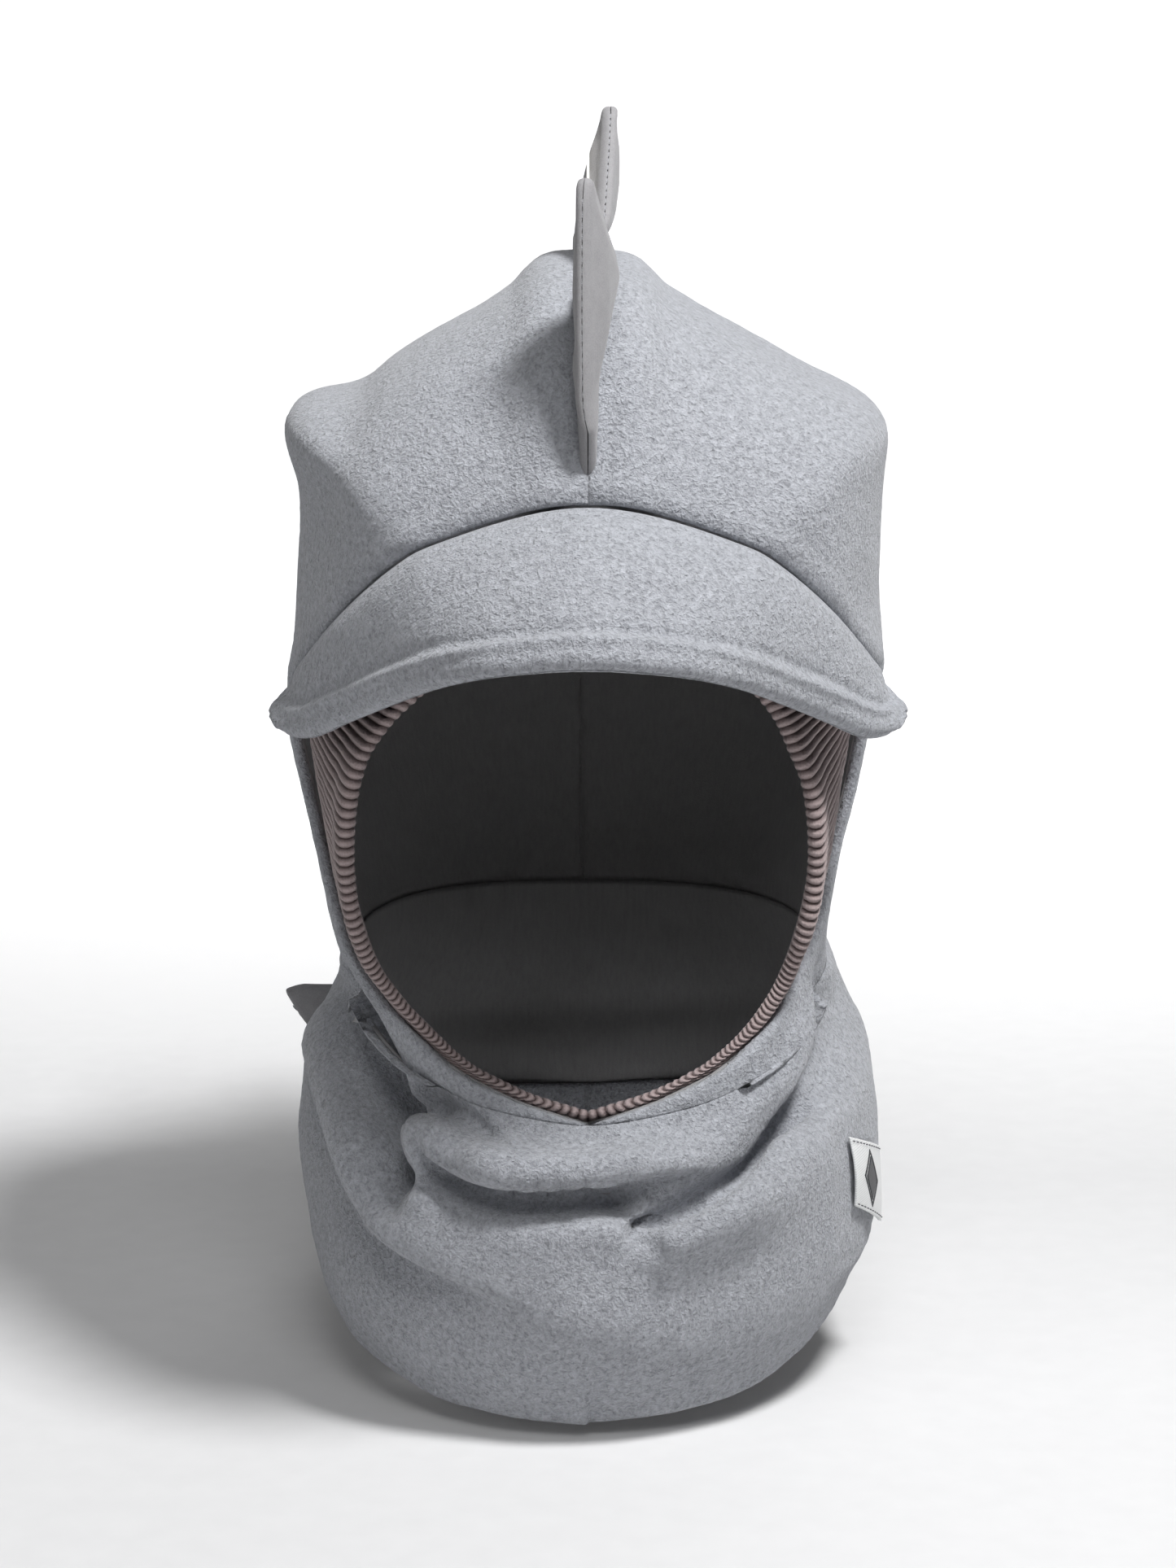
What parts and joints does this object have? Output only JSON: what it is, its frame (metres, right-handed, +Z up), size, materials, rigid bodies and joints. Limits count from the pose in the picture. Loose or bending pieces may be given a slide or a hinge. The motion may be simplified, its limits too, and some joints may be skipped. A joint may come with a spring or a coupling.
{
  "type": "balaclava",
  "caption": "Child's fleece balaclava with a soft padded peak, a ribbed face band, a draped cowl and a row of felt spikes along the crown.",
  "frame": {"origin": "seat of the head: the middle of the hood at brow height", "axes": "+Z up through the crown, the face looks along -Y, +X is the wearer's left"},
  "size_m": [0.1942, 0.2873, 0.3759],
  "materials": {
    "fleece": "matte",
    "felt": "matte",
    "rib_knit": "matte",
    "jersey_lining": "matte",
    "stiffener": "matte",
    "thread": "matte",
    "thread_light": "matte",
    "label_tape": "satin",
    "label_ink": "satin"
  },
  "bodies": {
    "hood": {"hood_shell_left": "fleece", "hood_shell_right": "fleece", "hood_lining_left": "rib_knit", "hood_lining_right": "rib_knit", "face_band": "rib_knit", "cowl_front": "fleece", "cowl_back": "fleece", "cowl_lining_front": "jersey_lining", "cowl_lining_back": "jersey_lining", "brim_seam_allowance": "fleece", "spike_seam_tabs": "felt", "label_stitches": "thread_light", "label_tape": "label_tape", "label_emblem": "label_ink"},
    "peak": {"brim_upper": "fleece", "brim_lower": "fleece", "brim_stiffener": "stiffener"},
    "spike_1": {"spike_1_left": "felt", "spike_1_right": "felt", "spike_1_interlining": "stiffener", "spike_1_stitching": "thread"},
    "spike_2": {"spike_2_left": "felt", "spike_2_right": "felt", "spike_2_interlining": "stiffener", "spike_2_stitching": "thread"},
    "spike_3": {"spike_3_left": "felt", "spike_3_right": "felt", "spike_3_interlining": "stiffener", "spike_3_stitching": "thread"},
    "spike_4": {"spike_4_left": "felt", "spike_4_right": "felt", "spike_4_interlining": "stiffener", "spike_4_stitching": "thread"},
    "nape_spike": {"nape_spike_left": "felt", "nape_spike_right": "felt", "nape_spike_interlining": "stiffener", "nape_spike_stitching": "thread"}
  },
  "joints": [
    {"name": "peak_tilt", "type": "hinge", "parent": "hood", "child": "peak", "pos_m": [0, -0.07, 0.06], "axis": [-1, 0, 0], "range_deg": [-3, 12], "stiffness_Nm_per_rad": 0.05},
    {"name": "spike_1_bend", "type": "hinge", "parent": "hood", "child": "spike_1", "pos_m": [0, -0.09368, 0.10147], "axis": [0, 0.7147, 0.6995], "range_deg": [-75, 75], "stiffness_Nm_per_rad": 0.02},
    {"name": "spike_2_bend", "type": "hinge", "parent": "hood", "child": "spike_2", "pos_m": [0, -0.03259, 0.14807], "axis": [0, 0.9995, 0.0331], "range_deg": [-75, 75], "stiffness_Nm_per_rad": 0.02},
    {"name": "spike_3_bend", "type": "hinge", "parent": "hood", "child": "spike_3", "pos_m": [0, 0.04387, 0.15125], "axis": [0, 0.8077, -0.5896], "range_deg": [-75, 75], "stiffness_Nm_per_rad": 0.02},
    {"name": "spike_4_bend", "type": "hinge", "parent": "hood", "child": "spike_4", "pos_m": [0, 0.0976, 0.10202], "axis": [0, 0.2152, -0.9766], "range_deg": [-75, 75], "stiffness_Nm_per_rad": 0.02},
    {"name": "nape_spike_swing", "type": "hinge", "parent": "hood", "child": "nape_spike", "pos_m": [-0.0575, 0.085, -0.158], "axis": [0, 0, 1], "range_deg": [-90, 2], "stiffness_Nm_per_rad": 0.02}
  ]
}
